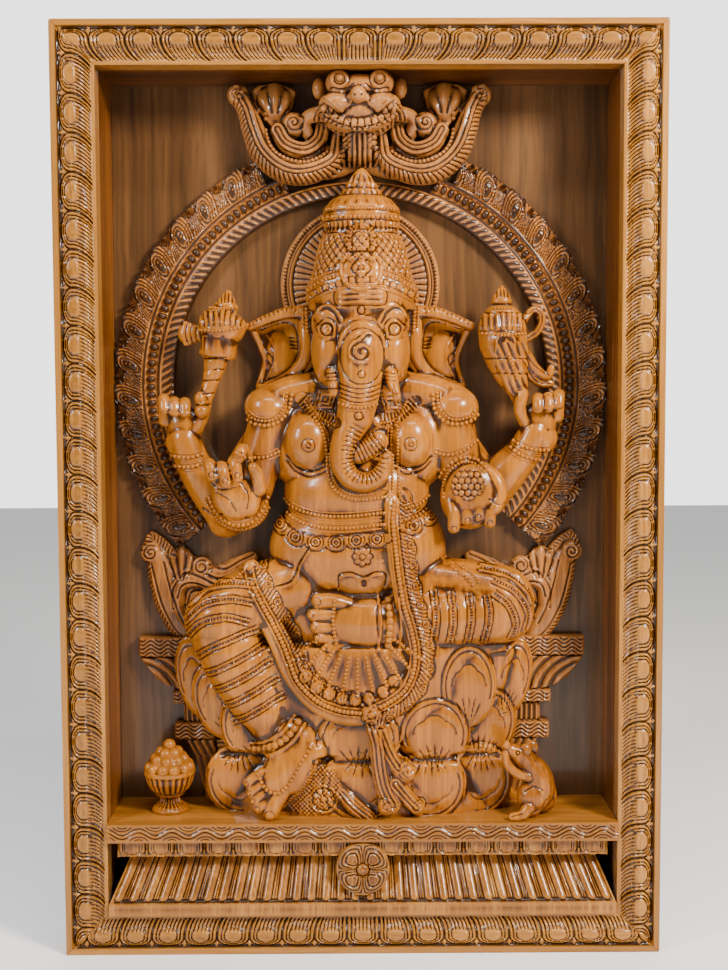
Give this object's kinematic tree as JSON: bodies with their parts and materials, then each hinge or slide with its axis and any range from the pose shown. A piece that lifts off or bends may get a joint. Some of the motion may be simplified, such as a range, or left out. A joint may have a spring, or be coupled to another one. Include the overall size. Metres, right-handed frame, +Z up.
{
  "type": "carved wall panel",
  "caption": "Deep framed teak panel for a wall, carved with a seated elephant-headed deity on a lotus under an arch, above a stepped plinth.",
  "frame": {"origin": "centre of the flat rear face, where the panel lies against the wall", "axes": "+Z up, +Y into the wall, the carved front faces -Y, +X to the right as seen from the front"},
  "size_m": [0.79, 0.145, 1.22],
  "materials": {
    "frame_teak": "glossy oiled and varnished teak, olive brown, darkened in the carving",
    "dark_teak": "satin varnished teak, dark brown",
    "polished_teak": "polished varnished teak, golden brown with straight grain"
  },
  "bodies": {
    "root": {"frame_top": "frame_teak", "frame_bottom": "frame_teak", "frame_left": "frame_teak", "frame_right": "frame_teak", "box_side_left": "dark_teak", "box_side_right": "dark_teak", "box_top": "dark_teak", "box_bottom": "dark_teak", "back_board": "dark_teak", "arch": "dark_teak", "halo_disc": "dark_teak", "crest_mask": "dark_teak", "throne_pier_left": "dark_teak", "throne_pier_right": "dark_teak", "throne_scroll_left": "dark_teak", "throne_scroll_right": "dark_teak", "ganesha_on_lotus": "polished_teak", "sweet_bowl": "polished_teak", "mouse": "polished_teak", "shelf": "polished_teak", "petal_band": "polished_teak", "fluted_cornice": "polished_teak", "rosette": "polished_teak"}
  },
  "joints": []
}
